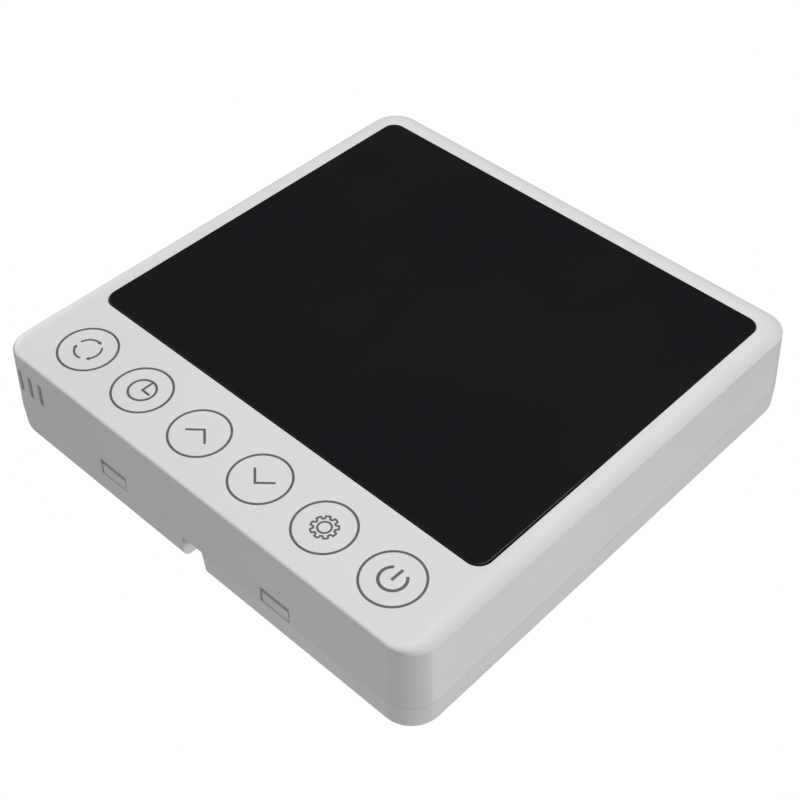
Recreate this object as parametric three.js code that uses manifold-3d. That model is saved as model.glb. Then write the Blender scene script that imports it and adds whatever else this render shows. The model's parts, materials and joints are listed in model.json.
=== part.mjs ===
// Wall thermostat: a square touch-key room thermostat on a wall plate.
//
// Lengths are millimetres. Every piece is drawn in the device's own directions, with x to the right,
// y up the wall and z out of the wall. The outermost group then stands it upright, so that in the
// finished model +Z is up, the front faces -Y and the origin is the centre of the face on the wall.

import * as THREE from "three";
import { mergeVertices } from "three/addons/utils/BufferGeometryUtils.js";
import Module from "manifold-3d";

const wasm = await Module();
wasm.setup();

// ---- Driving dimensions -------------------------------------------------------------------------

const HALF = 60; // half of the square body at its widest, which is at the seam
const DEPTH = 23.4; // wall to front face
const CORNER = 7; // plan radius of the body's corners
const DRAFT = 0.8; // how much each side leans in from the seam to the front
const SEAM = 7.1; // height of the housing's lower edge above the wall
const GAP = 0.3; // clearance between neighbouring pieces
const WALL = 2; // housing wall thickness
const PANEL_BACK = 20.6; // inner face of the housing's front panel

const PLATE_FLOOR = 2.2; // thickness of the wall plate's floor
const LIP = { outer: 57.5, inner: 56.3, top: 8.3 }; // locating lip that stands inside the housing

const LENS = { width: 108.2, height: 89.6, y: 8.8, radius: 3, thickness: 1.6, proud: 0.35 };
const LCD = { width: 94, height: 72, thickness: 2 };
const LIGHT_GUIDE = { width: 88, height: 66 };

const KEY_COUNT = 6;
const KEY_PITCH = 17.55;
const KEY_ROW_Y = -48;

const TAB = { x: 24, width: 7.2, top: 10.6, face: 59.8 }; // release tabs at the lower edge
const NOTCH = { back: 7, front: 5.8 }; // widths of the notch in the lower rim
const VENT = { xs: [-53.6, -50.2, -46.8], width: 1.3, from: 13.4, to: 18.9 };

const BOARD = { half: 56, from: 13.4, to: 15 }; // main board
const COVER = { half: 55.6, from: 6.5, to: 7.7 }; // rear cover of the front unit
const COVER_SCREWS = [[-51.5, 51], [51.5, 51], [-52.5, -38], [52.5, -38]];
const BOARD_SCREWS = [["left", -52.5], ["right", 52.5]];
const BOARD_SCREW_Y = 5;
const HOOK = { x: 25, width: 8, from: 55.8, tip: 58.5, under: 10, top: 12 };

const CABLE_OPENING = { halfWidth: 22, bottom: 4, top: 28 };
const WALL_SCREW_X = 30; // half of the 60 mm spacing of a wall box
const WALL_SCREW_Y = 42; // half of the 84 mm spacing of an upright wall box
const SCREW_PAD_TOP = 2.6; // seat of the wall screws' heads
const RIB_TOP = 4.4; // top of the plate's stiffening ribs

const TERMINAL_BOARD = { half: 35, bottom: -35, top: -8, from: 2.6, to: 3.8 };
const WAYS = 4; // terminals in each of the two blocks
const WAY_PITCH = 5.08;
const BLOCK = { x: 12.5, bottom: -19.5, top: -10.5, from: 4, to: 11.2 };
const CAGE = { halfWidth: 1.75, halfDepth: 1.8, from: 4.7, height: 3, wall: 0.6 };
const HEADER_Y = -28;
const HEADER_PINS = 8;
const PIN_PITCH = 2.54;

// ---- Materials ----------------------------------------------------------------------------------

const paint = (color, roughness, metalness = 0) =>
  new THREE.MeshStandardMaterial({ color, roughness, metalness });

const WHITE_PLASTIC = paint(0xdcdbdb, 0.55);
const BLACK_GLOSS = paint(0x0c0c0e, 0.08);
const BLACK_PLASTIC = paint(0x18181a, 0.5);
const FOAM_TAPE = paint(0x222222, 0.9);
const LCD_GLASS = paint(0x2b3033, 0.1);
const MILKY_PLASTIC = paint(0xf2f2ee, 0.3);
const SILVER_FILM = paint(0xd8dadd, 0.25, 0.6);
const ELASTOMER = paint(0xb9a79a, 0.8);
const CIRCUIT_BOARD = paint(0x1f6b45, 0.45);
const TERMINAL_PLASTIC = paint(0x3d7f4f, 0.5);
const PLATED_BRASS = paint(0xc9b26a, 0.3, 1);
const STEEL = paint(0xb4b6b8, 0.35, 1);

// ---- Solids -------------------------------------------------------------------------------------

function toSolid(geometry) {
  const bare = geometry.index ? geometry.clone() : geometry;
  bare.deleteAttribute("normal");
  bare.deleteAttribute("uv");
  const merged = mergeVertices(bare, 1e-4);
  return new wasm.Manifold(new wasm.Mesh({
    numProp: 3,
    vertProperties: new Float32Array(merged.attributes.position.array),
    triVerts: new Uint32Array(merged.index.array),
  }));
}

function toGeometry(solid) {
  const mesh = solid.getMesh();
  const geometry = new THREE.BufferGeometry();
  geometry.setAttribute("position", new THREE.BufferAttribute(new Float32Array(mesh.vertProperties), 3));
  geometry.setIndex(new THREE.BufferAttribute(new Uint32Array(mesh.triVerts), 1));
  geometry.computeVertexNormals();
  return geometry;
}

const join = (first, ...others) => others.reduce((whole, piece) => whole.add(piece), first);
const cut = (first, ...others) => others.reduce((whole, piece) => whole.subtract(piece), first);

function box(x0, x1, y0, y1, z0, z1) {
  const geometry = new THREE.BoxGeometry(x1 - x0, y1 - y0, z1 - z0);
  geometry.translate((x0 + x1) / 2, (y0 + y1) / 2, (z0 + z1) / 2);
  return toSolid(geometry);
}

// A round bar along z.
function bar(x, y, z0, z1, radius, sides = 16) {
  const geometry = new THREE.CylinderGeometry(radius, radius, z1 - z0, sides);
  geometry.rotateX(Math.PI / 2);
  geometry.translate(x, y, (z0 + z1) / 2);
  return toSolid(geometry);
}

// A rectangle with round corners, as a closed outline.
function roundedRectangle(x0, x1, y0, y1, radius) {
  const shape = new THREE.Shape();
  shape.absarc(x1 - radius, y1 - radius, radius, 0, Math.PI / 2);
  shape.absarc(x0 + radius, y1 - radius, radius, Math.PI / 2, Math.PI);
  shape.absarc(x0 + radius, y0 + radius, radius, Math.PI, Math.PI * 1.5);
  shape.absarc(x1 - radius, y0 + radius, radius, Math.PI * 1.5, Math.PI * 2);
  shape.closePath();
  return shape;
}

function slab(shape, z0, z1, curveSegments = 3) {
  const geometry = new THREE.ExtrudeGeometry(shape, {
    depth: z1 - z0,
    bevelEnabled: false,
    curveSegments,
  });
  geometry.translate(0, 0, z0);
  return toSolid(geometry);
}

const centredSlab = (width, height, y, radius, z0, z1) =>
  slab(roundedRectangle(-width / 2, width / 2, y - height / 2, y + height / 2, radius), z0, z1);

// A solid skinned over rounded rectangles that are stacked along z. Each section gives its height z,
// its half width, its bottom and top edges and its corner radius.
function loft(sections, cornerSteps = 6) {
  const rings = sections.map(({ half, bottom, top, radius }) => {
    const corners = [
      [half - radius, top - radius, 0],
      [radius - half, top - radius, 1],
      [radius - half, bottom + radius, 2],
      [half - radius, bottom + radius, 3],
    ];
    return corners.flatMap(([cx, cy, quarter]) =>
      Array.from({ length: cornerSteps + 1 }, (_, step) => {
        const angle = (quarter + step / cornerSteps) * Math.PI / 2;
        return new THREE.Vector2(cx + radius * Math.cos(angle), cy + radius * Math.sin(angle));
      }));
  });
  const count = rings[0].length;
  const positions = rings.flatMap((ring, level) => ring.flatMap((p) => [p.x, p.y, sections[level].z]));
  const faces = [];
  for (let level = 0; level + 1 < rings.length; level += 1) {
    for (let i = 0; i < count; i += 1) {
      const a = level * count + i;
      const b = level * count + (i + 1) % count;
      faces.push(a, b, b + count, a, b + count, a + count);
    }
  }
  for (const [a, b, c] of THREE.ShapeUtils.triangulateShape(rings[0], [])) {
    const last = (rings.length - 1) * count;
    faces.push(a, c, b, last + a, last + b, last + c);
  }
  const geometry = new THREE.BufferGeometry();
  geometry.setAttribute("position", new THREE.Float32BufferAttribute(positions, 3));
  geometry.setIndex(faces);
  return toSolid(geometry);
}

// A wire wound at a steady pitch about an axis along z.
class Helix extends THREE.Curve {
  constructor(x, y, z0, z1, radius, turns) {
    super();
    Object.assign(this, { x, y, z0, z1, radius, turns });
  }

  getPoint(t, target = new THREE.Vector3()) {
    const angle = t * this.turns * Math.PI * 2;
    const x = this.x + this.radius * Math.cos(angle);
    const y = this.y + this.radius * Math.sin(angle);
    return target.set(x, y, this.z0 + (this.z1 - this.z0) * t);
  }
}

// ---- Scene graph --------------------------------------------------------------------------------

const thermostat = new THREE.Group();
thermostat.name = "thermostat";
thermostat.rotation.x = Math.PI / 2;

const wallAssembly = new THREE.Group();
const frontUnit = new THREE.Group();
thermostat.add(wallAssembly, frontUnit);

function addPart(group, name, material, solid) {
  const mesh = new THREE.Mesh(toGeometry(solid), material);
  mesh.name = name;
  group.add(mesh);
}

// ---- Wall plate ---------------------------------------------------------------------------------

const square = (z, half, radius) => ({ z, half, bottom: -half, top: half, radius });

// The outer skin has a round back edge and stops just short of the seam.
function wallPlateBody() {
  const top = SEAM - GAP;
  const skin = loft([
    square(0, HALF - 2.1, CORNER - 2),
    square(0.35, HALF - 1.1, CORNER - 1),
    square(1, HALF - 0.4, CORNER - 0.4),
    square(2.1, HALF - 0.05, CORNER),
    square(top, HALF, CORNER),
  ]);
  const lip = loft([square(top - 1, LIP.outer, 4.5), square(LIP.top, LIP.outer, 4.5)]);
  const hollow = loft([square(PLATE_FLOOR, LIP.inner, 3.5), square(LIP.top + 1, LIP.inner, 3.5)]);
  return cut(join(skin, lip), hollow);
}

// A slot for a wall screw, long enough to square the plate up, or with a margin the pad around it.
function wallScrewOutline([x, y, halfX, halfY], margin) {
  const dx = halfX + margin;
  const dy = halfY + margin;
  return roundedRectangle(x - dx, x + dx, y - dy, y + dy, 2.19 + margin);
}

// The lower rim is notched, wider at the back, so that a cable or a thin blade can pass.
function rimNotch() {
  const profile = new THREE.Shape([
    new THREE.Vector2(-NOTCH.back / 2, 1),
    new THREE.Vector2(-NOTCH.front / 2, -SEAM),
    new THREE.Vector2(-NOTCH.front / 2, -LIP.top - 1),
    new THREE.Vector2(NOTCH.front / 2, -LIP.top - 1),
    new THREE.Vector2(NOTCH.front / 2, -SEAM),
    new THREE.Vector2(NOTCH.back / 2, 1),
  ]);
  const geometry = new THREE.ExtrudeGeometry(profile, { depth: 8, bevelEnabled: false });
  geometry.rotateX(-Math.PI / 2);
  geometry.translate(0, -HALF - 1, 0);
  return toSolid(geometry);
}

// A hook that stands on the top lip, with its tip in a pocket of the housing's top wall.
function hangingHook(x) {
  const x0 = x - HOOK.width / 2;
  const x1 = x + HOOK.width / 2;
  return join(
    box(x0, x1, HOOK.from, LIP.outer, PLATE_FLOOR - 1, HOOK.top),
    box(x0, x1, HOOK.from, HOOK.tip, HOOK.under, HOOK.top),
  );
}

// Ribs stiffen the floor, and two pegs locate the terminal board.
function wallPlate() {
  const ribs = [-1, 1].flatMap((side) => [
    box(side * 44 - 0.6, side * 44 + 0.6, -50, 50, PLATE_FLOOR - 1, RIB_TOP),
    box(side * 30 - 14, side * 30 + 14, 34.4, 35.6, PLATE_FLOOR - 1, RIB_TOP),
    bar(side * 31.5, -31, PLATE_FLOOR - 1, 4.6, 1.3, 12),
  ]);
  const tabRooms = [-1, 1].map((side) =>
    box(side * TAB.x - 5, side * TAB.x + 5, -LIP.outer - 0.5, -54, PLATE_FLOOR, LIP.top + 1));
  const screws = [-1, 1].flatMap((side) => [
    [side * WALL_SCREW_X, 0, 4, 2.2],
    [0, side * WALL_SCREW_Y, 2.2, 4],
  ]);
  const pads = screws.map((screw) =>
    slab(wallScrewOutline(screw, 2.4), PLATE_FLOOR - 1, SCREW_PAD_TOP, 4));
  const slots = screws.map((screw) => slab(wallScrewOutline(screw, 0), -1, SCREW_PAD_TOP + 1, 4));
  const cableOpening = slab(
    roundedRectangle(
      -CABLE_OPENING.halfWidth, CABLE_OPENING.halfWidth, CABLE_OPENING.bottom, CABLE_OPENING.top, 3,
    ), -1, PLATE_FLOOR + 1,
  );
  const plate = join(wallPlateBody(), ...ribs, ...pads, hangingHook(-HOOK.x), hangingHook(HOOK.x));
  return cut(plate, cableOpening, rimNotch(), ...slots, ...tabRooms);
}

// A springy tongue behind the rim, with a nose that fills a gap in the housing's lower edge. The nose's
// outer lower corner is cut off so that it swings clear of the rim when it's pressed.
function releaseTab(side) {
  const x = side * TAB.x;
  const half = TAB.width / 2;
  const stem = box(x - half, x + half, -LIP.outer, -56.2, PLATE_FLOOR + GAP, TAB.top);
  const nose = loft([
    { z: SEAM, half, bottom: -TAB.face + 0.4, top: -LIP.outer + 0.5, radius: 0.1 },
    { z: SEAM + 0.1, half, bottom: -TAB.face, top: -LIP.outer + 0.5, radius: 0.1 },
    { z: TAB.top - 0.3, half, bottom: -TAB.face, top: -LIP.outer + 0.5, radius: 0.1 },
    { z: TAB.top, half: half - 0.2, bottom: -TAB.face + 0.3, top: -LIP.outer + 0.5, radius: 0.1 },
  ], 1).translate([x, 0, 0]);
  return join(stem, nose);
}

addPart(wallAssembly, "wall_plate", WHITE_PLASTIC, wallPlate());
addPart(wallAssembly, "release_tab_left", WHITE_PLASTIC, releaseTab(-1));
addPart(wallAssembly, "release_tab_right", WHITE_PLASTIC, releaseTab(1));

// ---- Terminals on the wall plate ----------------------------------------------------------------

function terminalBoard() {
  const { half, bottom, top, from, to } = TERMINAL_BOARD;
  const pegHoles = [-1, 1].map((side) => bar(side * 31.5, -31, from - 1, to + 1, 1.7, 12));
  return cut(slab(roundedRectangle(-half, half, bottom, top, 1.5), from, to), ...pegHoles);
}

const wayX = (side, way) => side * BLOCK.x + (way - (WAYS - 1) / 2) * WAY_PITCH;
const WAY_Y = (BLOCK.bottom + BLOCK.top) / 2;

// Each way is a screw well above a chamber for its cage, with a wire entry in the upper side.
function terminalBlock(side) {
  const half = WAYS * WAY_PITCH / 2 + 0.6;
  const x = side * BLOCK.x;
  const body = box(x - half, x + half, BLOCK.bottom, BLOCK.top, BLOCK.from, BLOCK.to);
  const hollows = Array.from({ length: WAYS }, (_, way) => {
    const centre = wayX(side, way);
    return join(
      box(centre - 2.05, centre + 2.05, WAY_Y - 2.1, WAY_Y + 2.1, 4.4, 9.3),
      bar(centre, WAY_Y, 9, BLOCK.to + 1, 1.8),
      box(centre - 1.5, centre + 1.5, WAY_Y + 1, BLOCK.top + 1, 4.8, 7.9),
    );
  });
  return cut(body, ...hollows);
}

// A slotted screw that is held in its well and turns in the threaded top of the cage.
function terminalScrew(side, way) {
  const x = wayX(side, way);
  const screw = join(bar(x, WAY_Y, 9.5, 10.7, 1.5, 14), bar(x, WAY_Y, 6.9, 9.6, 1, 12));
  return cut(screw, box(x - 2, x + 2, WAY_Y - 0.25, WAY_Y + 0.25, 10.1, 11));
}

// A square cage that rises as the screw turns and pinches the wire from below.
function terminalCage(side, way) {
  const x = wayX(side, way);
  const { halfWidth, halfDepth, from, height, wall } = CAGE;
  const body = box(x - halfWidth, x + halfWidth, WAY_Y - halfDepth, WAY_Y + halfDepth, from, from + height);
  const window = box(
    x - halfWidth + wall, x + halfWidth - wall, WAY_Y - 3, WAY_Y + 3, from + wall, from + height - wall,
  );
  return cut(body, window, bar(x, WAY_Y, from + height - 1, from + height + 1, 1.12, 12));
}

function pinHeader() {
  const half = HEADER_PINS * PIN_PITCH / 2;
  const base = box(-half, half, HEADER_Y - 1.25, HEADER_Y + 1.25, 4, 6.2);
  const pins = Array.from({ length: HEADER_PINS }, (_, pin) => {
    const x = (pin - (HEADER_PINS - 1) / 2) * PIN_PITCH;
    return box(x - 0.32, x + 0.32, HEADER_Y - 0.32, HEADER_Y + 0.32, 6, 11.9);
  });
  return join(base, ...pins);
}

addPart(wallAssembly, "terminal_board", CIRCUIT_BOARD, terminalBoard());
addPart(wallAssembly, "pin_header", BLACK_PLASTIC, pinHeader());
for (const [name, side] of [["left", -1], ["right", 1]]) {
  addPart(wallAssembly, `terminal_block_${name}`, TERMINAL_PLASTIC, terminalBlock(side));
  for (let way = 0; way < WAYS; way += 1) {
    const number = (side + 1) / 2 * WAYS + way + 1;
    addPart(wallAssembly, `terminal_screw_${number}`, STEEL, terminalScrew(side, way));
    addPart(wallAssembly, `terminal_cage_${number}`, PLATED_BRASS, terminalCage(side, way));
  }
}

// ---- Front housing ------------------------------------------------------------------------------

// The sides and the top roll softly into the front. The lower edge stays crisp above the key row.
function housingSkin() {
  const front = HALF - DRAFT;
  return loft([
    { z: SEAM, half: HALF, bottom: -HALF, top: HALF, radius: CORNER },
    { z: DEPTH - 2.1, half: front, bottom: -front, top: front, radius: CORNER - 0.5 },
    { z: DEPTH - 1.2, half: front - 0.5, bottom: 0.1 - front, top: front - 0.5, radius: CORNER - 0.8 },
    { z: DEPTH - 0.5, half: front - 2, bottom: 0.2 - front, top: front - 2, radius: CORNER - 1.8 },
    { z: DEPTH, half: front - 4.4, bottom: 0.7 - front, top: front - 4.4, radius: CORNER - 3.5 },
  ]);
}

function housingHollow() {
  const mouth = HALF - WALL;
  return loft([
    square(SEAM - 1, mouth + 0.03, CORNER - WALL),
    square(PANEL_BACK, mouth - DRAFT + 0.2, CORNER - WALL),
  ]);
}

const screwBoss = ([x, y]) => bar(x, y, COVER.to + GAP, PANEL_BACK + 0.4, 3.2);
const screwBossHole = ([x, y]) => bar(x, y, COVER.to, COVER.to + 8.3, 1.3, 12);

function frontHousing() {
  const lensFloor = DEPTH + LENS.proud - LENS.thickness - 0.4;
  const lensRecess = centredSlab(
    LENS.width + 2 * GAP, LENS.height + 2 * GAP, LENS.y, LENS.radius + GAP, lensFloor, DEPTH + 1,
  );
  const lcdWindow = centredSlab(
    LIGHT_GUIDE.width, LIGHT_GUIDE.height, LENS.y, 1, PANEL_BACK - 1, DEPTH,
  );
  const vents = VENT.xs.map((x) =>
    box(x - VENT.width / 2, x + VENT.width / 2, -HALF - 1, WALL - HALF + 1.5, VENT.from, VENT.to));
  const tabGaps = [-1, 1].map((side) => box(
    side * TAB.x - TAB.width / 2 - 0.4, side * TAB.x + TAB.width / 2 + 0.4,
    -HALF - 1, WALL - HALF + 1, SEAM - 1, TAB.top + 0.6,
  ));
  const hookPockets = [-1, 1].map((side) => box(
    side * HOOK.x - HOOK.width / 2 - 0.6, side * HOOK.x + HOOK.width / 2 + 0.6,
    HALF - WALL - 1, HOOK.tip + 0.4, SEAM + WALL, HOOK.top + 2.6,
  ));
  const boardPosts = BOARD_SCREWS.map(([, x]) =>
    bar(x, BOARD_SCREW_Y, BOARD.to + GAP, PANEL_BACK + 0.4, 2.6, 14));
  const boardPostHoles = BOARD_SCREWS.map(([, x]) => bar(x, BOARD_SCREW_Y, BOARD.to, 19.6, 1.2, 12));
  const shell = join(cut(housingSkin(), housingHollow()), ...COVER_SCREWS.map(screwBoss), ...boardPosts);
  return cut(
    shell, lensRecess, lcdWindow, ...vents, ...tabGaps, ...hookPockets, ...boardPostHoles,
    ...COVER_SCREWS.map(screwBossHole),
  );
}

addPart(frontUnit, "front_housing", WHITE_PLASTIC, frontHousing());

// ---- Display ------------------------------------------------------------------------------------

function displayLens() {
  const top = DEPTH + LENS.proud;
  const half = LENS.width / 2;
  const bottomEdge = -LENS.height / 2;
  const section = (z, inset) => ({
    z, half: half - inset, bottom: bottomEdge + inset, top: -bottomEdge - inset, radius: LENS.radius - inset,
  });
  return loft([section(top - LENS.thickness, 0), section(top - 0.3, 0), section(top, 0.3)], 8)
    .translate([0, LENS.y, 0]);
}

const frame = (width, height, border, radius, z0, z1) => cut(
  centredSlab(width, height, LENS.y, radius, z0, z1),
  centredSlab(width - 2 * border, height - 2 * border, LENS.y, radius / 2, z0 - 1, z1 + 1),
);

const tapeTop = DEPTH + LENS.proud - LENS.thickness - 0.1;
addPart(frontUnit, "display_lens", BLACK_GLOSS, displayLens());
addPart(frontUnit, "lens_adhesive", FOAM_TAPE,
  frame(LENS.width - 1, LENS.height - 1, 6, 2.5, tapeTop - 0.2, tapeTop));

const lcdTop = PANEL_BACK - GAP;
const lcdBack = lcdTop - LCD.thickness;
const backlightBack = BOARD.to + 0.2;
addPart(frontUnit, "lcd_glass", LCD_GLASS,
  centredSlab(LCD.width, LCD.height, LENS.y, 0.5, lcdBack, lcdTop));
addPart(frontUnit, "lcd_frame", BLACK_PLASTIC,
  frame(LCD.width + 4, LCD.height + 4, 1.7, 1, backlightBack, lcdTop));
addPart(frontUnit, "diffuser_sheet", MILKY_PLASTIC,
  centredSlab(LIGHT_GUIDE.width, LIGHT_GUIDE.height, LENS.y, 0.5, lcdBack - 0.3, lcdBack - 0.1));
addPart(frontUnit, "light_guide", MILKY_PLASTIC,
  centredSlab(LIGHT_GUIDE.width, LIGHT_GUIDE.height, LENS.y, 0.5, backlightBack + 0.3, lcdBack - 0.4));
addPart(frontUnit, "reflector_sheet", SILVER_FILM,
  centredSlab(LIGHT_GUIDE.width, LIGHT_GUIDE.height, LENS.y, 0.5, backlightBack, backlightBack + 0.2));
addPart(frontUnit, "backlight_led_strip", MILKY_PLASTIC,
  box(-46.6, -LIGHT_GUIDE.width / 2 - GAP, LENS.y - 30, LENS.y + 30, backlightBack, lcdBack - 0.4));
for (const [name, side] of [["top", 1], ["bottom", -1]]) {
  const y = LENS.y + side * (LCD.height / 2 - 1.1);
  addPart(frontUnit, `zebra_strip_${name}`, ELASTOMER,
    box(-42, 42, y - 0.9, y + 0.9, backlightBack, lcdBack - 0.1));
}

// ---- Main board ---------------------------------------------------------------------------------

function mainBoard() {
  const { half, from, to } = BOARD;
  const bossHoles = COVER_SCREWS.map(([x, y]) => bar(x, y, from - 1, to + 1, 3.7));
  const screwHoles = BOARD_SCREWS.map(([, x]) => bar(x, BOARD_SCREW_Y, from - 1, to + 1, 1.3, 12));
  return cut(slab(roundedRectangle(-half, half, -half, half, 4), from, to), ...bossHoles, ...screwHoles);
}

// A pan-head screw that is driven from the back, with a cross in its head.
function panScrew(x, y, seat, tip, shankRadius) {
  const head = bar(x, y, seat - 1.2, seat, shankRadius * 2.2, 14);
  const shank = bar(x, y, seat - 0.5, tip, shankRadius, 12);
  const cross = join(
    box(x - 1.1, x + 1.1, y - 0.25, y + 0.25, seat - 2, seat - 0.6),
    box(x - 0.25, x + 0.25, y - 1.1, y + 1.1, seat - 2, seat - 0.6),
  );
  return cut(join(head, shank), cross);
}

const underBoard = BOARD.from - 0.1;
const chip = (x, y, half, height) =>
  box(x - half, x + half, y - half, y + half, underBoard - height, underBoard);
const can = (x, y, radius, height) => bar(x, y, underBoard - height, underBoard, radius, 20);

addPart(frontUnit, "main_board", CIRCUIT_BOARD, mainBoard());
addPart(frontUnit, "microcontroller", BLACK_PLASTIC, chip(-30, -38, 5, 1.4));
addPart(frontUnit, "touch_controller", BLACK_PLASTIC, chip(8, -44, 3.5, 1.2));
addPart(frontUnit, "buzzer", BLACK_PLASTIC, cut(can(34, -38, 6, 5), bar(34, -38, 7, 9.3, 1, 10)));
addPart(frontUnit, "capacitor", STEEL, can(-40, 4, 3.15, 5));
for (let relay = 0; relay < 3; relay += 1) {
  const x = 12 + relay * 10;
  addPart(frontUnit, `signal_relay_${relay + 1}`, BLACK_PLASTIC,
    box(x - 3.25, x + 3.25, 25, 35, underBoard - 5.2, underBoard));
}

// The memory cell lies in a round holder that is open towards the back.
const cellX = -26;
const cellY = 30;
addPart(frontUnit, "coin_cell_holder", BLACK_PLASTIC, cut(
  can(cellX, cellY, 11.4, 4.2),
  bar(cellX, cellY, underBoard - 5, underBoard - 0.6, 10.4, 24),
  box(cellX - 4, cellX + 4, cellY - 13, cellY, underBoard - 5, underBoard - 0.6),
));
addPart(frontUnit, "coin_cell", STEEL, bar(cellX, cellY, underBoard - 4, underBoard - 0.8, 10, 24));

// The sensing bead hangs on two leads behind the vents.
function thermistor() {
  const bead = new THREE.SphereGeometry(1.3, 12, 8);
  bead.translate(-50.2, -53.5, underBoard - 3);
  const leads = [-0.6, 0.6].map((dx) => bar(-50.2 + dx, -53.5, underBoard - 3, underBoard, 0.25, 8));
  return join(toSolid(bead), ...leads);
}
addPart(frontUnit, "thermistor", BLACK_PLASTIC, thermistor());

// One long slot takes all the header's pins, with room for them to lean as the front swings.
function headerSocket() {
  const half = HEADER_PINS * PIN_PITCH / 2;
  return cut(
    box(-half - 0.6, half + 0.6, HEADER_Y - 1.9, HEADER_Y + 1.9, underBoard - 4.6, underBoard),
    box(-half + 0.4, half - 0.4, HEADER_Y - 1, HEADER_Y + 1, underBoard - 6, underBoard - 0.8),
  );
}
addPart(frontUnit, "header_socket", BLACK_PLASTIC, headerSocket());

// One coil spring under each key carries its touch field from the board to the front panel.
function touchSpring(x) {
  const wire = new THREE.Shape();
  wire.absarc(0, 0, 0.3, 0, Math.PI * 2);
  const turns = 3.5;
  const geometry = new THREE.ExtrudeGeometry(wire, {
    steps: turns * 10,
    curveSegments: 3,
    extrudePath: new Helix(x, KEY_ROW_Y, BOARD.to + 0.5, PANEL_BACK - 0.5, 4.2, turns),
  });
  return toSolid(geometry);
}
for (let key = 0; key < KEY_COUNT; key += 1) {
  addPart(frontUnit, `touch_spring_${key + 1}`, PLATED_BRASS,
    touchSpring((key - (KEY_COUNT - 1) / 2) * KEY_PITCH));
}
for (const [name, x] of BOARD_SCREWS) {
  addPart(frontUnit, `board_screw_${name}`, STEEL, panScrew(x, BOARD_SCREW_Y, underBoard, 19, 1));
}

// ---- Rear cover ---------------------------------------------------------------------------------

// The cover is open over the terminals, the header, the memory cell, the hooks and the release tabs.
function rearCover() {
  const { half, from, to } = COVER;
  const low = from - 1;
  const high = to + 1;
  const blockHalf = WAYS * WAY_PITCH / 2 + 0.6;
  const openings = [
    box(-BLOCK.x - blockHalf - 1.3, BLOCK.x + blockHalf + 1.3, BLOCK.bottom - 1.3, BLOCK.top + 3, low, high),
    box(-12.5, 12.5, HEADER_Y - 2.6, HEADER_Y + 2.6, low, high),
    bar(cellX, cellY, low, high, 12, 24),
    ...[-1, 1].flatMap((side) => [
      box(side * HOOK.x - 5.5, side * HOOK.x + 5.5, 52.5, half + 1, low, high),
      box(side * TAB.x - 5.5, side * TAB.x + 5.5, -half - 1, -51.5, low, high),
    ]),
    ...COVER_SCREWS.map(([x, y]) => bar(x, y, low, high, 1.4, 12)),
  ];
  return cut(slab(roundedRectangle(-half, half, -half, half, 4.5), from, to), ...openings);
}

addPart(frontUnit, "rear_cover", WHITE_PLASTIC, rearCover());
COVER_SCREWS.forEach(([x, y], index) => {
  addPart(frontUnit, `rear_cover_screw_${index + 1}`, STEEL, panScrew(x, y, COVER.from - 0.1, 15, 1.1));
});

export default thermostat;
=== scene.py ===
"""Wall thermostat: the finished looks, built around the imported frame.

Shapes are drawn in millimetres on the device's own axes: x to the right, y up the wall and z out of
the wall. DEVICE_TO_ROW then turns a finished mesh into the frame's metres."""

import json
import math
from collections import namedtuple

import bmesh
import bpy
from mathutils import Matrix, Vector


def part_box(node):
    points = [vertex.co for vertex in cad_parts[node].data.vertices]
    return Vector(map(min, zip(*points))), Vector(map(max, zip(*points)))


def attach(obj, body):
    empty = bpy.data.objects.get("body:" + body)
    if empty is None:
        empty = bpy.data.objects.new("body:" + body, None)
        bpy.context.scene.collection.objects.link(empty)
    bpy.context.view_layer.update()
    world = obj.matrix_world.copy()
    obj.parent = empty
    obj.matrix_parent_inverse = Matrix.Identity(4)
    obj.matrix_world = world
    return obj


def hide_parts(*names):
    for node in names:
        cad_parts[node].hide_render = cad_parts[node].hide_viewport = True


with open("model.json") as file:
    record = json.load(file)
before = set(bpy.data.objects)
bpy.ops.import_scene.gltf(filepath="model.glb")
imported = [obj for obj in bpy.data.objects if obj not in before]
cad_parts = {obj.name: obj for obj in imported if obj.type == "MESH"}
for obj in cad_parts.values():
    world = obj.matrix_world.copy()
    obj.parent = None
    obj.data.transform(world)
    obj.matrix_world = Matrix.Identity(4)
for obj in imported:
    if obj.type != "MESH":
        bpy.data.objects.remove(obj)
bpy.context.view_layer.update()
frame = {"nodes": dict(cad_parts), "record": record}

MM = 0.001
DEVICE_TO_ROW = Matrix(((MM, 0, 0, 0), (0, 0, -MM, 0), (0, MM, 0, 0), (0, 0, 0, 1)))

Box = namedtuple("Box", "x0 x1 y0 y1 z0 z1")


def device_box(node):
    """The box of a CAD node, in millimetres on the device's axes."""
    low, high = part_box(node)
    return Box(low.x / MM, high.x / MM, low.z / MM, high.z / MM, -high.y / MM, -low.y / MM)


# ---- Driving dimensions, in millimetres -----------------------------------------------------------

HOUSING = device_box("front_housing")
PLATE = device_box("wall_plate")
LENS = device_box("display_lens")
TAB = device_box("release_tab_right")
COVER = device_box("rear_cover")
BOARD = device_box("main_board")

HALF = HOUSING.x1  # half of the square body
SEAM = HOUSING.z0
DEPTH = HOUSING.z1
CORNER = 7
DRAFT = 0.8  # taper of each side wall between the seam and the front
CORNER_STEPS = 14

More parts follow.
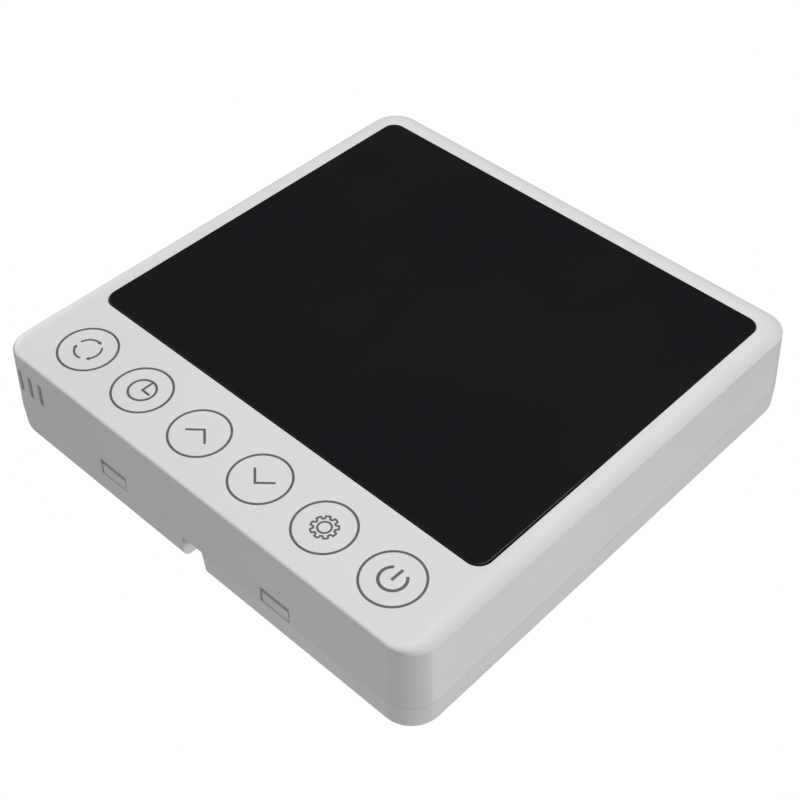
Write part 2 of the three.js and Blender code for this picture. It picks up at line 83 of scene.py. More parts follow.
SIDE_ROLL = Vector((4.2, 1.3))  # width and fall of the soft roll on the left, right and top edges
BOTTOM_EDGE = 0.7  # radius of the crisper lower edge
BACK_EDGE = 2.1  # radius of the plate's edge against the wall
BACK_SETBACK = 0.05  # of the plate's outside, away from the seam
FRONT_CORNER = CORNER - 0.5  # plan radius where the sides end
ROLL_CORNER_LOSS = 3.6  # how much of that radius the roll takes up
SEAM_GAP = 0.02  # between the plate's rim and the housing
SEAM_ROUND = 0.04  # radius of the plate's edge at the seam
WALL = 2
PANEL_BACK = 20.6
PLATE_FLOOR = 2.2
LIP_OUTER = 57.5
LIP_INNER = 56.3
LIP_FOOT = 4
LIP_TOP = 8.3
LIP_CORNER = 4.5
OVERLAP = 1  # how far a joined or cutting solid runs past the face that it meets
FIT_GAP = 0.3  # clearance between neighbouring pieces

LENS_GAP = 0.25
LENS_CORNER = 3
LENS_EDGE = 0.15
WINDOW = (88, 66)  # opening behind the lens for the display

VENT_XS = (-53.6, -50.2, -46.8)
VENT_WIDTH = 1.3
VENT_HEIGHTS = (13.4, 18.9)
TAB_CLEARANCE = 0.4
TAB_HEADROOM = 0.6
TAB_NOSE_SETBACK = 0.6  # leaves the dark gap at the front of the tab's window
TAB_NOSE_LIFT = 0.02  # of the nose's underside, off the seam
TAB_ROOM_HALF = 5
TAB_ROOM_END = -54
NOTCH_BACK = 7
NOTCH_FRONT = 5.8

HOOK_X = 25
HOOK_WIDTH = 8
HOOK_BACK = 55.8
HOOK_TIP = 58.5
HOOK_POCKET_END = 58.9
WALL_SCREWS = ((-30, 0, 4, 2.2), (30, 0, 4, 2.2), (0, -42, 2.2, 4), (0, 42, 2.2, 4))
SLOT_ROUND = 2.19  # corner radius, just under half of a slot's width
SCREW_PAD = 2.6
PAD_RISE = 0.4
CABLE_OPENING = (-22, 22, 4, 28)

UPRIGHT_RIB_X = 44
UPRIGHT_RIB_HALF = (0.6, 50)  # half its width and half its length
CROSS_RIB_X = 30
CROSS_RIB_HALF = 14
CROSS_RIB_YS = (34.4, 35.6)
RIB_TOP = 4.4
PEG = (31.5, -31, 1.3)  # place and radius of the pegs under the terminal board
PEG_TOP = 4.6

COVER_BOSS = (3.2, 1.3)  # radius of a boss and of its hole
BOARD_BOSS = (2.6, 1.2)
BOSS_ROOT = 0.4  # how far a boss runs into the panel
COVER_HOLE_DEPTH = 8.3
BOARD_HOLE_END = 19.6

KEY_PITCH = 17.55
KEY_ROW_Y = -48
KEY_RING = 6.3  # radius of a key's printed circle
KEY_STROKE = 0.5
PRINT_HEIGHT = 0.04
PRINT_SINK = 0.05  # how far the print reaches below the face, so that no gap shows
SHARPEST_MITRE = 0.3

COPLANAR_ANGLE = math.radians(0.4)
BEVEL_ANGLE = math.radians(32)
SHADING_ANGLE = math.radians(40)


# ---- Outlines --------------------------------------------------------------------------------------

def arc(centre, radius, start, end, steps):
    """Points on a circle, from one angle in degrees to another."""
    angles = (math.radians(start + (end - start) * i / steps) for i in range(steps + 1))
    return [(centre[0] + radius * math.cos(a), centre[1] + radius * math.sin(a)) for a in angles]


def rounded_rectangle(x0, x1, y0, y1, radius, steps=CORNER_STEPS):
    corners = (
        (x1 - radius, y1 - radius, 0),
        (x0 + radius, y1 - radius, 90),
        (x0 + radius, y0 + radius, 180),
        (x1 - radius, y0 + radius, 270),
    )
    return [p for x, y, start in corners for p in arc((x, y), radius, start, start + 90, steps)]


def square(half, radius, lower=None):
    """A rounded square, with its lower side at another distance from the middle if that is given."""
    return rounded_rectangle(-half, half, -(half if lower is None else lower), half, radius)


# ---- Meshes ----------------------------------------------------------------------------------------

def loft(sections):
    """A closed body through outlines of equally many points, each given with its height."""
    made = bmesh.new()
    rings = [[made.verts.new((x, y, z)) for x, y in outline] for outline, z in sections]
    for low, high in zip(rings, rings[1:]):
        for i in range(len(low)):
            j = (i + 1) % len(low)
            made.faces.new((low[i], low[j], high[j], high[i]))
    made.faces.new(reversed(rings[0]))
    made.faces.new(rings[-1])
    return made


def prism(outline, z0, z1):
    return loft([(outline, z0), (outline, z1)])


def block(x0, x1, y0, y1, z0, z1):
    return prism([(x1, y1), (x0, y1), (x0, y0), (x1, y0)], z0, z1)


def bar(x, y, radius, z0, z1, steps=32):
    return prism(arc((x, y), radius, 0, 360 * (steps - 1) / steps, steps - 1), z0, z1)


def temporary(solid):
    mesh = bpy.data.meshes.new("temporary")
    solid.to_mesh(mesh)
    solid.free()
    made = bpy.data.objects.new("temporary", mesh)
    bpy.context.scene.collection.objects.link(made)
    return made


def combine(base, operation, others):
    """base joined with the other solids, or with the other solids cut out of it."""
    target = temporary(base)
    tools = [temporary(solid) for solid in others]
    for tool in tools:
        boolean = target.modifiers.new("Boolean", "BOOLEAN")
        boolean.operation = operation
        boolean.solver = "EXACT"
        boolean.object = tool
    evaluated = target.evaluated_get(bpy.context.evaluated_depsgraph_get())
    made = bmesh.new()
    made.from_mesh(evaluated.to_mesh())
    evaluated.to_mesh_clear()
    for used in (target, *tools):
        mesh = used.data
        bpy.data.objects.remove(used)
        bpy.data.meshes.remove(mesh)
    return made


def join(base, *others):
    return combine(base, "UNION", others)


def cut(base, *others):
    return combine(base, "DIFFERENCE", others)


def soften(solid, width):
    """Merges the faces that lie in one plane, and rounds every sharp edge."""
    bmesh.ops.remove_doubles(solid, verts=solid.verts, dist=1e-4)
    bmesh.ops.dissolve_limit(
        solid, angle_limit=COPLANAR_ANGLE, verts=solid.verts, edges=solid.edges,
    )
    edges = [e for e in solid.edges if e.is_manifold and e.calc_face_angle() > BEVEL_ANGLE]
    if width and edges:
        bmesh.ops.bevel(
            solid, geom=edges, offset=width, segments=2, profile=0.5,
            affect="EDGES", clamp_overlap=False, miter_outer="ARC",
        )
    return solid


def piece(name, solid, body, material, replaced=(), width=0.0):
    """A finished, smooth-shaded object that rides on its body."""
    soften(solid, width)
    mesh = bpy.data.meshes.new(name)
    solid.to_mesh(mesh)
    solid.free()
    mesh.transform(DEVICE_TO_ROW)
    mesh.shade_smooth()
    mesh.set_sharp_from_angle(angle=SHADING_ANGLE)
    mesh.materials.append(material)
    made = bpy.data.objects.new(name, mesh)
    bpy.context.scene.collection.objects.link(made)
    weighted = made.modifiers.new("Weighted normals", "WEIGHTED_NORMAL")
    weighted.keep_sharp = True
    weighted.weight = 80
    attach(made, body)
    if replaced:
        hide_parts(*replaced)
    return made


# ---- Materials -------------------------------------------------------------------------------------

NOISE_LOW = 0.3  # between these two, the noise textures have most of their values
NOISE_HIGH = 0.7


class Shader:
    """A Principled material whose colour, roughness and surface come from procedural textures."""

    def __init__(self, name, **constants):
        self.material = bpy.data.materials.new(name)
        self.material.use_nodes = True
        self.nodes = self.material.node_tree.nodes
        self.links = self.material.node_tree.links
        self.surface = self.nodes["Principled BSDF"]
        self.place = self.nodes.new("ShaderNodeTexCoord").outputs["Object"]
        for socket, value in constants.items():
            self.surface.inputs[socket.replace("_", " ")].default_value = value

    def noise(self, size_mm, detail, stretch=(1, 1, 1)):
        """Cloudy noise whose features are about size_mm across."""
        mapping = self.nodes.new("ShaderNodeMapping")
        mapping.inputs["Scale"].default_value = stretch
        texture = self.nodes.new("ShaderNodeTexNoise")
        texture.inputs["Scale"].default_value = 1 / (size_mm * MM)
        texture.inputs["Detail"].default_value = detail
        self.links.new(self.place, mapping.inputs["Vector"])
        self.links.new(mapping.outputs["Vector"], texture.inputs["Vector"])
        return texture.outputs["Fac"]

    def cells(self, size_mm):
        """Edges of irregular cells about size_mm across."""
        texture = self.nodes.new("ShaderNodeTexVoronoi")
        texture.feature = "DISTANCE_TO_EDGE"
        texture.inputs["Scale"].default_value = 1 / (size_mm * MM)
        self.links.new(self.place, texture.inputs["Vector"])
        return texture.outputs["Distance"]

    def stripes(self, size_mm, direction):
        texture = self.nodes.new("ShaderNodeTexWave")
        texture.bands_direction = direction
        texture.inputs["Scale"].default_value = 1 / (size_mm * MM) / 20
        self.links.new(self.place, texture.inputs["Vector"])
        return texture.outputs["Fac"]

    def colour(self, value, low, high, from_low=NOISE_LOW, from_high=NOISE_HIGH):
        ramp = self.nodes.new("ShaderNodeValToRGB")
        ramp.color_ramp.elements[0].position = from_low
        ramp.color_ramp.elements[0].color = (*low, 1)
        ramp.color_ramp.elements[1].position = from_high
        ramp.color_ramp.elements[1].color = (*high, 1)
        self.links.new(value, ramp.inputs["Fac"])
        self.links.new(ramp.outputs["Color"], self.surface.inputs["Base Color"])
        return self

    def roughness(self, value, low, high):
        limits = self.nodes.new("ShaderNodeMapRange")
        limits.inputs["From Min"].default_value = NOISE_LOW
        limits.inputs["From Max"].default_value = NOISE_HIGH
        limits.inputs["To Min"].default_value = low
        limits.inputs["To Max"].default_value = high
        self.links.new(value, limits.inputs["Value"])
        self.links.new(limits.outputs["Result"], self.surface.inputs["Roughness"])
        return self

    def bump(self, value, depth_mm, strength=1.0):
        bump = self.nodes.new("ShaderNodeBump")
        bump.inputs["Strength"].default_value = strength
        bump.inputs["Distance"].default_value = depth_mm * MM
        self.links.new(value, bump.inputs["Height"])
        self.links.new(bump.outputs["Normal"], self.surface.inputs["Normal"])
        return self


def white_plastic():
    """Fine spark-eroded grain, with a faint cloudiness from moulding and handling."""
    shader = Shader("white_plastic", IOR=1.46, Specular_IOR_Level=0.4)
    shader.colour(shader.noise(26, 3), (0.738, 0.713, 0.727), (0.768, 0.742, 0.757))
    shader.roughness(shader.noise(7, 4), 0.44, 0.56)
    return shader.bump(shader.noise(0.32, 3), 0.012, 0.5).material


def lens_black():
    """Polished smoked plastic over black back-printing, with faint wipe marks in its gloss."""
    shader = Shader("lens_black", IOR=1.42, Specular_IOR_Level=0.42)
    shader.colour(shader.noise(40, 2), (0.0098, 0.0095, 0.0118), (0.0116, 0.0113, 0.0136))
    return shader.roughness(shader.noise(9, 5, (1, 1, 0.25)), 0.05, 0.085).material


def key_print():
    """Pad-printed ink, a little uneven in its cover."""
    shader = Shader("key_print", IOR=1.46, Specular_IOR_Level=0.35)
    shader.colour(shader.noise(0.8, 3), (0.1, 0.1, 0.102), (0.135, 0.135, 0.136))
    shader.roughness(shader.noise(2, 3), 0.45, 0.6)
    return shader.bump(shader.noise(0.2, 2), 0.006, 0.4).material


def black_plastic():
    shader = Shader("black_plastic", IOR=1.5)
    shader.colour(shader.noise(6, 3), (0.014, 0.014, 0.015), (0.024, 0.024, 0.026))
    shader.roughness(shader.noise(3, 4), 0.4, 0.6)
    return shader.bump(shader.noise(0.25, 3), 0.012, 0.6).material


def foam_tape():
    shader = Shader("foam_tape")
    shader.colour(shader.noise(1.2, 4), (0.02, 0.02, 0.02), (0.045, 0.045, 0.045))
    shader.roughness(shader.noise(2, 3), 0.8, 0.95)
    return shader.bump(shader.cells(0.5), 0.08, 0.7).material


def lcd_glass():
    shader = Shader("lcd_glass", IOR=1.52)
    shader.colour(shader.noise(30, 2), (0.045, 0.052, 0.058), (0.06, 0.068, 0.075))
    return shader.roughness(shader.noise(12, 3), 0.05, 0.12).material


def milky_plastic():
    shader = Shader("milky_plastic", IOR=1.49, Subsurface_Weight=0.2, Subsurface_Scale=0.001)
    shader.colour(shader.noise(10, 2), (0.8, 0.81, 0.79), (0.87, 0.88, 0.86))
    shader.roughness(shader.noise(4, 3), 0.2, 0.35)
    return shader.bump(shader.cells(0.8), 0.02, 0.4).material


def silver_film():
    shader = Shader("silver_film", Metallic=0.9)
    shader.colour(shader.noise(15, 3), (0.74, 0.75, 0.77), (0.82, 0.83, 0.85))
    shader.roughness(shader.noise(3, 3), 0.15, 0.3)
    return shader.bump(shader.noise(5, 3), 0.05, 0.3).material


def elastomer():
    """Layered strip of carbon and silicone rubber."""
    shader = Shader("elastomer")
    shader.colour(shader.stripes(0.18, "X"), (0.03, 0.03, 0.03), (0.5, 0.42, 0.38))
    shader.roughness(shader.noise(2, 3), 0.6, 0.8)
    return shader.bump(shader.noise(0.4, 3), 0.02, 0.5).material


def circuit_board():
    """Green solder mask, with paler tracks that show through it."""
    shader = Shader("circuit_board", IOR=1.5, Coat_Weight=0.3, Coat_Roughness=0.15)
    shader.colour(shader.cells(3.2), (0.03, 0.2, 0.09), (0.015, 0.12, 0.055), 0.03, 0.09)
    shader.roughness(shader.noise(5, 3), 0.3, 0.45)
    return shader.bump(shader.cells(3.2), 0.03, 0.5).material


def terminal_plastic():
    shader = Shader("terminal_plastic", IOR=1.5)
    shader.colour(shader.noise(8, 3), (0.035, 0.16, 0.065), (0.05, 0.2, 0.085))
    shader.roughness(shader.noise(3, 3), 0.35, 0.5)
    return shader.bump(shader.noise(0.3, 3), 0.01, 0.5).material


def plated_brass():
    shader = Shader("plated_brass", Metallic=1.0)
    shader.colour(shader.noise(2, 4), (0.66, 0.54, 0.27), (0.82, 0.71, 0.42))
    shader.roughness(shader.noise(1, 4), 0.22, 0.4)
    return shader.bump(shader.noise(0.15, 3, (1, 6, 1)), 0.006, 0.5).material


def steel():
    shader = Shader("steel", Metallic=1.0)
    shader.colour(shader.noise(3, 4), (0.52, 0.53, 0.54), (0.68, 0.69, 0.7))
    shader.roughness(shader.noise(1.5, 4), 0.25, 0.42)
    return shader.bump(shader.noise(0.12, 3, (1, 1, 8)), 0.006, 0.5).material


def thermistor_epoxy():
    shader = Shader("thermistor_epoxy", IOR=1.55, Coat_Weight=0.5, Coat_Roughness=0.1)
    shader.colour(shader.noise(1, 3), (0.02, 0.02, 0.024), (0.04, 0.04, 0.046))
    return shader.roughness(shader.noise(0.6, 3), 0.2, 0.35).material


MATERIALS = {make.__name__: make() for make in (
    white_plastic, lens_black, key_print, black_plastic, foam_tape, lcd_glass, milky_plastic, silver_film,
    elastomer, circuit_board, terminal_plastic, plated_brass, steel, thermistor_epoxy,
)}


# ---- Wall plate ------------------------------------------------------------------------------------

def wall_plate_skin():
    """The plate's outside turns into its back in a quarter round, and is barely rounded at the seam."""
    steps = 8
    sections = []
    for i in range(steps + 1):
        turn = math.radians(90 * i / steps)
        inset = BACK_EDGE * (1 - math.sin(turn))
        height = BACK_EDGE * (1 - math.cos(turn))
        sections.append((square(HALF - BACK_SETBACK - inset, CORNER - inset * 0.9), height))
    top = SEAM - SEAM_GAP
    sections.append((square(HALF, CORNER), top - SEAM_ROUND))
    for i in range(1, 4):
        turn = math.radians(30 * i)
        inset = SEAM_ROUND * (1 - math.cos(turn))
        height = top - SEAM_ROUND * (1 - math.sin(turn))
        sections.append((square(HALF - inset, CORNER - inset), height))
    return loft(sections)


def wall_screw_slot(screw, margin, z0, z1):
    x, y, half_x, half_y = screw
    dx = half_x + margin
    dy = half_y + margin
    return prism(rounded_rectangle(x - dx, x + dx, y - dy, y + dy, SLOT_ROUND + margin), z0, z1)


def rim_notch():
    """Cut through the lower rim, a little wider against the wall than at the seam."""
    back = NOTCH_BACK / 2
    front = NOTCH_FRONT / 2
    made = bmesh.new()
    top = LIP_TOP + OVERLAP
    profile = (
        (-back, -OVERLAP), (back, -OVERLAP), (front, SEAM), (front, top), (-front, top), (-front, SEAM),
    )
    lower = [made.verts.new((x, -HALF - OVERLAP, z)) for x, z in profile]
    upper = [made.verts.new((x, -HALF + 7, z)) for x, z in profile]
    made.faces.new(lower)
    made.faces.new(reversed(upper))
    for i in range(len(profile)):
        j = (i + 1) % len(profile)
        made.faces.new((lower[j], lower[i], upper[i], upper[j]))
    return made


def hanging_hook(x):
    x0 = x - HOOK_WIDTH / 2
    x1 = x + HOOK_WIDTH / 2
    stem = block(x0, x1, HOOK_BACK, LIP_OUTER, PLATE_FLOOR - OVERLAP, PLATE.z1)
    return join(stem, block(x0, x1, HOOK_BACK, HOOK_TIP, PLATE.z1 - 2, PLATE.z1))


def wall_plate():
    inside = PLATE_FLOOR - OVERLAP
    lip = prism(square(LIP_OUTER, LIP_CORNER), LIP_FOOT, LIP_TOP)
    hollow = prism(square(LIP_INNER, LIP_CORNER - 1), PLATE_FLOOR, LIP_TOP + OVERLAP)
    tray = cut(join(wall_plate_skin(), lip), hollow)
    rib_width, rib_length = UPRIGHT_RIB_HALF
    ribs = [
        block(x - rib_width, x + rib_width, -rib_length, rib_length, inside, RIB_TOP)
        for x in (-UPRIGHT_RIB_X, UPRIGHT_RIB_X)
    ]
    ribs += [
        block(x - CROSS_RIB_HALF, x + CROSS_RIB_HALF, *CROSS_RIB_YS, inside, RIB_TOP)
        for x in (-CROSS_RIB_X, CROSS_RIB_X)
    ]
    peg_x, peg_y, peg_radius = PEG
    pegs = [bar(side * peg_x, peg_y, peg_radius, inside, PEG_TOP) for side in (-1, 1)]
    pads = [wall_screw_slot(screw, SCREW_PAD, inside, PLATE_FLOOR + PAD_RISE) for screw in WALL_SCREWS]
    slots = [wall_screw_slot(screw, 0, -OVERLAP, PLATE_FLOOR + OVERLAP) for screw in WALL_SCREWS]
    opening = prism(rounded_rectangle(*CABLE_OPENING, 3), -OVERLAP, PLATE_FLOOR + OVERLAP)
    tab_middle = (TAB.x0 + TAB.x1) / 2
    rooms = [
        block(
            x - TAB_ROOM_HALF, x + TAB_ROOM_HALF, -LIP_OUTER - 0.5, TAB_ROOM_END,
            PLATE_FLOOR, LIP_TOP + OVERLAP,
        )
        for x in (-tab_middle, tab_middle)
    ]
    hooks = [hanging_hook(side * HOOK_X) for side in (-1, 1)]
    return cut(join(tray, *ribs, *pegs, *pads, *hooks), *slots, opening, rim_notch(), *rooms)


# ---- Front housing ---------------------------------------------------------------------------------

def housing_skin():
    """Three sides meet the face in a soft roll, and the lower one turns in a small round."""
    side = HALF - DRAFT
    width, drop = SIDE_ROLL
    roll = (width ** 2 + drop ** 2) / (2 * drop)
    slope = math.asin(width / roll)
    sections = [
        (square(HALF, CORNER), SEAM),
        (square(side, FRONT_CORNER), DEPTH - drop),
    ]
    steps = 16
    for i in range(1, steps + 1):
        tilt = slope * (1 - i / steps)
        inset = width - roll * math.sin(tilt)
        fall = roll * (1 - math.cos(tilt))
        lower_inset = 0
        if fall < BOTTOM_EDGE:
            lower_inset = BOTTOM_EDGE - math.sqrt(BOTTOM_EDGE ** 2 - (BOTTOM_EDGE - fall) ** 2)
        radius = FRONT_CORNER - ROLL_CORNER_LOSS * inset / width
        sections.append((square(side - inset, radius, side - lower_inset), DEPTH - fall))
    return loft(sections)


def housing_hollow():
    mouth = HALF - WALL
    return loft([
        (square(mouth + 0.03, CORNER - WALL), SEAM - OVERLAP),
        (square(mouth - DRAFT + 0.2, CORNER - WALL), PANEL_BACK),
    ])


def screw_places():
    """Middles of the screws that hold the rear cover, and of those that hold the main board."""
    boxes = {
        "cover": [device_box(f"rear_cover_screw_{k}") for k in range(1, 5)],
        "board": [device_box(f"board_screw_{side}") for side in ("left", "right")],
    }
    return {k: [((b.x0 + b.x1) / 2, (b.y0 + b.y1) / 2) for b in found] for k, found in boxes.items()}


def front_housing():
    places = screw_places()
    boss_end = PANEL_BACK + BOSS_ROOT
    boss, hole = COVER_BOSS
    bosses = [bar(x, y, boss, COVER.z1 + FIT_GAP, boss_end) for x, y in places["cover"]]
    holes = [bar(x, y, hole, COVER.z1, COVER.z1 + COVER_HOLE_DEPTH, 24) for x, y in places["cover"]]
    boss, hole = BOARD_BOSS
    bosses += [bar(x, y, boss, BOARD.z1 + FIT_GAP, boss_end) for x, y in places["board"]]
    holes += [bar(x, y, hole, BOARD.z1, BOARD_HOLE_END, 24) for x, y in places["board"]]
    recess = prism(
        rounded_rectangle(
            LENS.x0 - LENS_GAP, LENS.x1 + LENS_GAP, LENS.y0 - LENS_GAP, LENS.y1 + LENS_GAP,
            LENS_CORNER + LENS_GAP,
        ),
        LENS.z0 - 0.4, DEPTH + OVERLAP,
    )
    lens_y = (LENS.y0 + LENS.y1) / 2
    width, height = WINDOW
    window = prism(
        rounded_rectangle(-width / 2, width / 2, lens_y - height / 2, lens_y + height / 2, 1, 6),
        PANEL_BACK - OVERLAP, DEPTH,
    )
    vents = [
        block(x - VENT_WIDTH / 2, x + VENT_WIDTH / 2, -HALF - OVERLAP, WALL - HALF + 1.5, *VENT_HEIGHTS)
        for x in VENT_XS
    ]
    gap_x0 = TAB.x0 - TAB_CLEARANCE
    gap_x1 = TAB.x1 + TAB_CLEARANCE
    tab_gaps = [
        block(
            *sorted((side * gap_x0, side * gap_x1)), -HALF - OVERLAP, WALL - HALF + OVERLAP,
            SEAM - OVERLAP, TAB.z1 + TAB_HEADROOM,
        )
        for side in (-1, 1)
    ]
    pocket = HOOK_WIDTH / 2 + 0.6
    pockets = [
        block(
            x - pocket, x + pocket, HALF - WALL - OVERLAP, HOOK_POCKET_END,
            SEAM + WALL, PLATE.z1 + 2.6,
        )
        for x in (-HOOK_X, HOOK_X)
    ]
    shell = join(cut(housing_skin(), housing_hollow()), *bosses)
    return cut(shell, recess, window, *vents, *tab_gaps, *pockets, *holes)


def release_tab(side):
    """A springy tongue whose nose stops short of the front of its window in the housing's edge."""
    x0, x1 = sorted((side * TAB.x0, side * TAB.x1))
    stem = block(x0, x1, -LIP_OUTER, TAB.y1, TAB.z0, TAB.z1)
    nose_base = SEAM + TAB_NOSE_LIFT
    return join(stem, block(x0, x1, TAB.y0, -LIP_OUTER + 0.5, nose_base, TAB.z1 - TAB_NOSE_SETBACK))


def display_lens():
    """A flat plate with a polished round edge."""
    sections = []

    def section(inset, height):
        outline = rounded_rectangle(
            LENS.x0 + inset, LENS.x1 - inset, LENS.y0 + inset, LENS.y1 - inset, LENS_CORNER - inset, 16,
        )
        sections.append((outline, height))

    section(0, LENS.z0)
    for i in range(6):
        turn = math.radians(90 * i / 5)
        section(LENS_EDGE * (1 - math.cos(turn)), LENS.z1 - LENS_EDGE * (1 - math.sin(turn)))
    return loft(sections)


# ---- Printed keys ----------------------------------------------------------------------------------

def stroke(made, points, width, closed=False):
    """Adds a thin raised line along a path, mitred where the path turns."""
    low = DEPTH - PRINT_SINK
    high = DEPTH + PRINT_HEIGHT
    count = len(points)
    path = [Vector(p) for p in points]
    rows = []
    for i, here in enumerate(path):
        before = path[i - 1] if closed or i else here
        after = path[(i + 1) % count] if closed or i < count - 1 else here
        into = (here - before).normalized() if before is not here else (after - here).normalized()
        out = (after - here).normalized() if after is not here else into
        normal = Vector((-(into + out).y, (into + out).x)).normalized()
        reach = width / 2 / max(SHARPEST_MITRE, normal.dot(Vector((-into.y, into.x))))
        corners = ((1, low), (-1, low), (-1, high), (1, high))
        rows.append([made.verts.new((*(here + side * reach * normal), z)) for side, z in corners])
    for i in range(count if closed else count - 1):
        a = rows[i]
        b = rows[(i + 1) % count]
        for j in range(4):
            k = (j + 1) % 4
            made.faces.new((a[j], a[k], b[k], b[j]))
    if not closed:
        made.faces.new(reversed(rows[0]))
        made.faces.new(rows[-1])


def ring(made, radius, width, steps=72):
    stroke(made, arc((0, 0), radius, 0, 360 * (steps - 1) / steps, steps - 1), width, closed=True)


def cycle_mark(made):
    """Three arcs that chase each other clockwise, each with a small head."""
    radius = 2.86
    for start, end in ((172, 88), (50, -32), (-72, -149)):
        stroke(made, arc((0, 0), radius, start, end, 16), 0.46)
        angle = math.radians(end)
        middle = Vector((math.cos(angle), math.sin(angle)))
        ahead = Vector((middle.y, -middle.x))
        base = radius * middle
        tip = base + 0.75 * ahead - 0.05 * middle
        corners = (base + 0.5 * middle, base - 0.5 * middle, tip - 0.1 * middle, tip + 0.1 * middle)
        low = [made.verts.new((*p, DEPTH - PRINT_SINK)) for p in corners]
        high = [made.verts.new((*p, DEPTH + PRINT_HEIGHT)) for p in corners]
        made.faces.new(low)
        made.faces.new(reversed(high))
        for i in range(4):
            j = (i + 1) % 4
            made.faces.new((low[j], low[i], high[i], high[j]))


def clock_mark(made):
    ring(made, 2.9, 0.5, 48)
    stroke(made, [(0, 2.62), (0, 0), (2.2, 0)], 0.5)


def up_mark(made):
    stroke(made, [(-2.86, -1.2), (0, 1.29), (2.86, -1.2)], 0.5)


def down_mark(made):
    stroke(made, [(-2.9, 1.25), (0, -1.35), (2.95, 1.25)], 0.5)


def gear_mark(made):
    """An outline of nine teeth around a hub."""
    teeth = 9
    outline = []
    for tooth in range(teeth):
        middle = 360 * tooth / teeth
        for offset, radius in ((-14, 2.14), (-9, 2.68), (0, 2.72), (9, 2.68), (14, 2.14), (20, 2.1)):
            angle = math.radians(middle + offset)
            outline.append((radius * math.cos(angle), radius * math.sin(angle)))
    stroke(made, outline, 0.42, closed=True)
    ring(made, 1.36, 0.42, 36)


def power_mark(made):
    stroke(made, arc((0, 0), 2.7, 129, 411, 40), 0.62)
    stroke(made, [(0, 2.68), (0, -0.4)], 0.62)


KEY_MARKS = (cycle_mark, clock_mark, up_mark, down_mark, gear_mark, power_mark)


def key_print_piece(number, draw):
    """The circle and the symbol of one key, above its touch spring."""
    made = bmesh.new()
    ring(made, KEY_RING, KEY_STROKE)
    draw(made)
    bmesh.ops.recalc_face_normals(made, faces=made.faces)
    centre = Vector(((number - 1 - (len(KEY_MARKS) - 1) / 2) * KEY_PITCH, KEY_ROW_Y, 0))
    bmesh.ops.translate(made, verts=made.verts, vec=centre)
    return piece(f"key_mark_{number}", made, "front_unit", MATERIALS["key_print"])


# ---- Pieces ----------------------------------------------------------------------------------------

BODY_OF = {n: body for body, nodes in frame["record"]["behaviour"]["bodies"].items() for n in nodes}
SLOT_OF = {part["node"]: part["material_slot"] for part in frame["record"]["subparts"]}


def rebuilt(node, solid, width):
    slot = SLOT_OF[node]
    return piece(f"{node}_moulding", solid, BODY_OF[node], MATERIALS[slot], (node,), width)


def refined(node, width):
    """A finished copy of a CAD node: its flat faces are made whole and its edges are rounded."""
    solid = bmesh.new()
    solid.from_mesh(frame["nodes"][node].data)
    bmesh.ops.transform(solid, matrix=DEVICE_TO_ROW.inverted(), verts=solid.verts)
    slot = SLOT_OF[node]
    return piece(f"{node}_finish", solid, BODY_OF[node], MATERIALS[slot], (node,), width)


rebuilt("wall_plate", wall_plate(), 0.06)
rebuilt("front_housing", front_housing(), 0.06)
rebuilt("release_tab_left", release_tab(-1), 0.06)
rebuilt("release_tab_right", release_tab(1), 0.06)
rebuilt("display_lens", display_lens(), 0)
for number, draw in enumerate(KEY_MARKS, 1):
    key_print_piece(number, draw)

REBUILT = {"wall_plate", "release_tab_left", "release_tab_right", "front_housing", "display_lens"}
UNROUNDED = {f"touch_spring_{k}" for k in range(1, 7)} | {"thermistor"}
for node in frame["nodes"]:
    if node not in REBUILT:
        low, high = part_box(node)
        thinnest = min(high - low) / MM
        refined(node, 0 if node in UNROUNDED else min(0.15, 0.08 * thinnest))


# ---- Studio ----------------------------------------------------------------------------------------

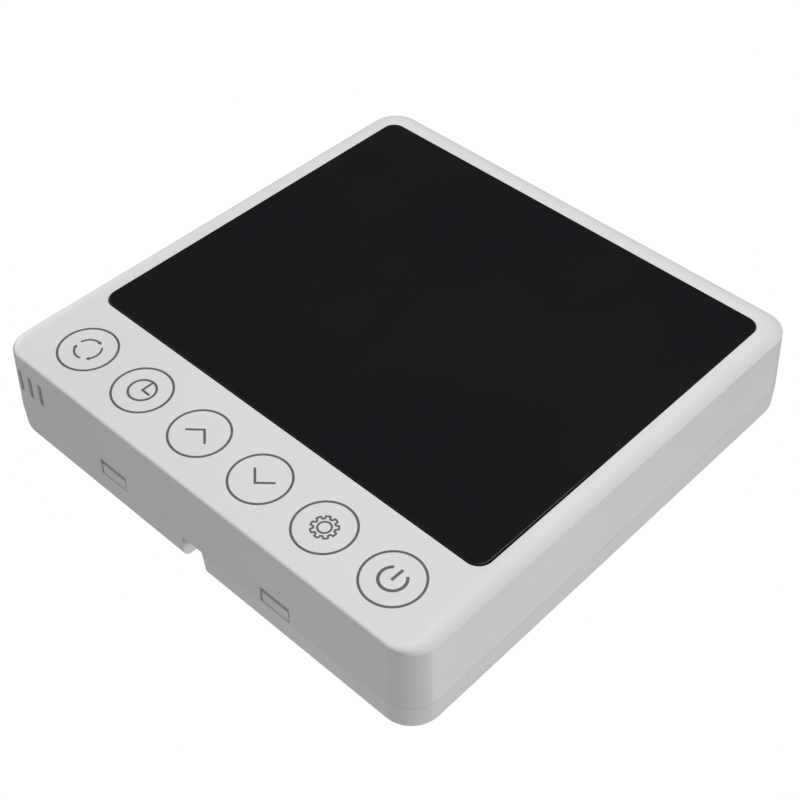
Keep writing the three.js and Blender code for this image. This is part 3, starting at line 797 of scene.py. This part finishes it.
def floor():
    """A plain floor that glows a little, so that it stays even away from the lights."""
    mesh = bpy.data.meshes.new("floor")
    made = bmesh.new()
    bmesh.ops.create_grid(made, x_segments=2, y_segments=2, size=4)
    made.to_mesh(mesh)
    made.free()
    ground = bpy.data.objects.new("floor", mesh)
    ground.location.z = -0.3
    bpy.context.scene.collection.objects.link(ground)
    shader = Shader("floor_paint", Emission_Color=(1, 1, 0.99, 1), Emission_Strength=0.22)
    shader.colour(shader.noise(120, 3), (0.27, 0.27, 0.267), (0.3, 0.3, 0.297))
    shader.roughness(shader.noise(60, 3), 0.6, 0.75)
    mesh.materials.append(shader.material)


def soft_box(name, place, size, power):
    """A square area light that faces the middle of the device."""
    light = bpy.data.lights.new(name, "AREA")
    light.energy = power
    light.size = size
    made = bpy.data.objects.new(name, light)
    made.location = place
    made.rotation_euler = (-Vector(place)).to_track_quat("-Z", "Y").to_euler()
    made.visible_camera = False
    bpy.context.scene.collection.objects.link(made)


def surroundings():
    """A white backdrop for the camera, and a dimmer even light on the device."""
    world = bpy.data.worlds.new("studio")
    bpy.context.scene.world = world
    world.use_nodes = True
    nodes = world.node_tree.nodes
    path = nodes.new("ShaderNodeLightPath")
    backdrop = nodes.new("ShaderNodeMix")
    backdrop.data_type = "RGBA"
    backdrop.inputs[6].default_value = (0.04, 0.04, 0.0405, 1)
    backdrop.inputs[7].default_value = (1, 1, 1, 1)
    world.node_tree.links.new(path.outputs["Is Camera Ray"], backdrop.inputs[0])
    world.node_tree.links.new(backdrop.outputs[2], nodes["Background"].inputs["Color"])


def camera():
    """Below and to the right of the device, looking up at it."""
    lens = bpy.data.cameras.new("camera")
    lens.sensor_width = 36
    lens.lens = 65.76
    lens.shift_x = -0.068
    lens.shift_y = 0.017
    made = bpy.data.objects.new("camera", lens)
    right = Vector((0.7387, -0.0104, 0.674))
    forward = Vector((-0.4638, 0.7178, 0.5193)).normalized()
    up = right.cross(forward).normalized()
    right = forward.cross(up)
    turn = Matrix((right, up, -forward)).transposed().to_4x4()
    made.matrix_world = Matrix.Translation((0.159, -0.2321, -0.161)) @ turn
    bpy.context.scene.collection.objects.link(made)
    bpy.context.scene.camera = made


floor()
surroundings()
soft_box("key_light", (0.05, -0.84, 0.28), 0.45, 6.35)
soft_box("left_light", (-0.9, -0.09, 0.1), 0.4, 2.0)
soft_box("right_light", (0.8, 0.5, 0.25), 0.4, 5.1)
soft_box("back_light", (-0.25, 0.9, -0.02), 0.5, 2.0)
camera()
bpy.context.scene.view_settings.view_transform = "Standard"
